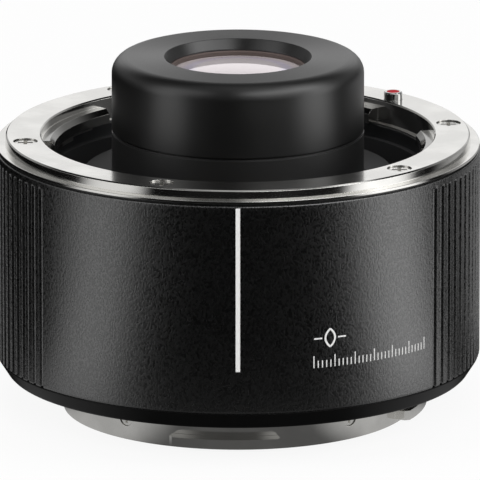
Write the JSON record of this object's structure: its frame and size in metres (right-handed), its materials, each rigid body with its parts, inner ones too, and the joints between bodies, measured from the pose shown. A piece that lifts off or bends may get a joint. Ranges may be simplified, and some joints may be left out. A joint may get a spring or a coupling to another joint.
{
  "type": "camera lens teleconverter",
  "caption": "Short black lens teleconverter with a bayonet at each end, a front barrel that stands out, side grip flutes, a lock pin with release lever and sprung contacts.",
  "frame": {"origin": "on the optical axis, at the rear end of the spigot, the lowest point as it stands", "axes": "+Z along the optical axis towards the lens side; the index line faces -Y"},
  "size_m": [0.071, 0.071, 0.0525],
  "materials": {
    "body_black": "crinkle black paint",
    "line_white": "white fill",
    "skirt_black": "satin black",
    "chassis_metal": "machined",
    "bayonet_steel": "fine ground and polished",
    "screw_steel": "satin",
    "screw_black": "black oxide",
    "spring_steel": "bare",
    "shroud_black": "matt moulded",
    "barrel_black": "satin black anodised",
    "cell_black": "matt black",
    "retainer_bronze": "satin",
    "contact_plastic": "moulded",
    "contact_gold": "gold plated",
    "strip_amber": "polyimide film",
    "board_green": "solder mask",
    "chip_black": "moulded",
    "shield_black": "matt moulded",
    "seal_rubber": "moulded",
    "pin_steel": "polished",
    "dot_red": "red",
    "lever_black": "satin black",
    "coated_glass": "multi-coated"
  },
  "bodies": {
    "frame": {"outer_barrel": "body_black", "index_line": "line_white", "trim_ring": "bayonet_steel", "skirt_ring": "skirt_black", "chassis": "chassis_metal", "optics_plate": "chassis_metal", "plate_screws": "screw_steel", "front_bayonet": "bayonet_steel", "front_bayonet_screws": "screw_steel", "bayonet_spring": "spring_steel", "inner_shroud": "shroud_black", "barrel_tube": "barrel_black", "tube_screws": "screw_black", "barrel_cap": "barrel_black", "optics_cell": "cell_black", "front_retainer": "retainer_bronze", "glass_1": "coated_glass", "glass_2": "coated_glass", "glass_3": "coated_glass", "glass_4": "coated_glass", "glass_5": "coated_glass", "glass_6": "coated_glass", "glass_7": "coated_glass", "front_spacer": "cell_black", "rear_spacer": "cell_black", "rear_retainer": "cell_black", "front_contact_block": "contact_plastic", "contact_base": "contact_plastic", "contact_screws": "screw_steel", "contact_springs": "spring_steel", "front_strip": "strip_amber", "circuit_board": "board_green", "board_chips": "chip_black", "board_screws": "screw_steel", "rear_strip": "strip_amber", "rear_bayonet": "bayonet_steel", "rear_bayonet_screws": "screw_steel", "spigot_screws": "screw_steel", "rear_contact_block": "contact_plastic", "rear_contact_pads": "contact_gold", "light_shield": "shield_black", "rear_seal": "seal_rubber", "lock_pin_spring": "spring_steel", "lever_spring": "spring_steel"},
    "release_lever": {"release_lever": "lever_black"},
    "lock_pin": {"lock_pin": "pin_steel", "lock_pin_dot": "dot_red"},
    "contact_pin_1": {"contact_pin_1": "contact_gold"},
    "contact_pin_2": {"contact_pin_2": "contact_gold"},
    "contact_pin_3": {"contact_pin_3": "contact_gold"},
    "contact_pin_4": {"contact_pin_4": "contact_gold"},
    "contact_pin_5": {"contact_pin_5": "contact_gold"},
    "contact_pin_6": {"contact_pin_6": "contact_gold"},
    "contact_pin_7": {"contact_pin_7": "contact_gold"},
    "contact_pin_8": {"contact_pin_8": "contact_gold"},
    "contact_pin_9": {"contact_pin_9": "contact_gold"},
    "contact_pin_10": {"contact_pin_10": "contact_gold"}
  },
  "joints": [
    {"name": "lever_slide_round", "type": "hinge", "parent": "frame", "child": "release_lever", "pos_m": [0, 0, 0.0305], "axis": [0, 0, 1], "range_deg": [0, 6], "stiffness_Nm_per_rad": 0.25, "springref_deg": -2.86, "deforming": ["lever_spring"]},
    {"name": "lock_pin_drop", "type": "slide", "parent": "frame", "child": "lock_pin", "axis": [0, 0, -1], "range_m": [0, 0.00135], "deforming": ["lock_pin_spring"]},
    {"name": "contact_press_1", "type": "slide", "parent": "frame", "child": "contact_pin_1", "axis": [0, 0, -1], "range_m": [0, 0.0008], "stiffness_N_per_m": 150, "springref_m": -0.001, "deforming": ["contact_springs"]},
    {"name": "contact_press_2", "type": "slide", "parent": "frame", "child": "contact_pin_2", "axis": [0, 0, -1], "range_m": [0, 0.0008], "stiffness_N_per_m": 150, "springref_m": -0.001, "deforming": ["contact_springs"]},
    {"name": "contact_press_3", "type": "slide", "parent": "frame", "child": "contact_pin_3", "axis": [0, 0, -1], "range_m": [0, 0.0008], "stiffness_N_per_m": 150, "springref_m": -0.001, "deforming": ["contact_springs"]},
    {"name": "contact_press_4", "type": "slide", "parent": "frame", "child": "contact_pin_4", "axis": [0, 0, -1], "range_m": [0, 0.0008], "stiffness_N_per_m": 150, "springref_m": -0.001, "deforming": ["contact_springs"]},
    {"name": "contact_press_5", "type": "slide", "parent": "frame", "child": "contact_pin_5", "axis": [0, 0, -1], "range_m": [0, 0.0008], "stiffness_N_per_m": 150, "springref_m": -0.001, "deforming": ["contact_springs"]},
    {"name": "contact_press_6", "type": "slide", "parent": "frame", "child": "contact_pin_6", "axis": [0, 0, -1], "range_m": [0, 0.0008], "stiffness_N_per_m": 150, "springref_m": -0.001, "deforming": ["contact_springs"]},
    {"name": "contact_press_7", "type": "slide", "parent": "frame", "child": "contact_pin_7", "axis": [0, 0, -1], "range_m": [0, 0.0008], "stiffness_N_per_m": 150, "springref_m": -0.001, "deforming": ["contact_springs"]},
    {"name": "contact_press_8", "type": "slide", "parent": "frame", "child": "contact_pin_8", "axis": [0, 0, -1], "range_m": [0, 0.0008], "stiffness_N_per_m": 150, "springref_m": -0.001, "deforming": ["contact_springs"]},
    {"name": "contact_press_9", "type": "slide", "parent": "frame", "child": "contact_pin_9", "axis": [0, 0, -1], "range_m": [0, 0.0008], "stiffness_N_per_m": 150, "springref_m": -0.001, "deforming": ["contact_springs"]},
    {"name": "contact_press_10", "type": "slide", "parent": "frame", "child": "contact_pin_10", "axis": [0, 0, -1], "range_m": [0, 0.0008], "stiffness_N_per_m": 150, "springref_m": -0.001, "deforming": ["contact_springs"]}
  ],
  "couplings": [
    {"joint": "lock_pin_drop", "follows": "lever_slide_round", "m_per_rad": 0.012892}
  ]
}
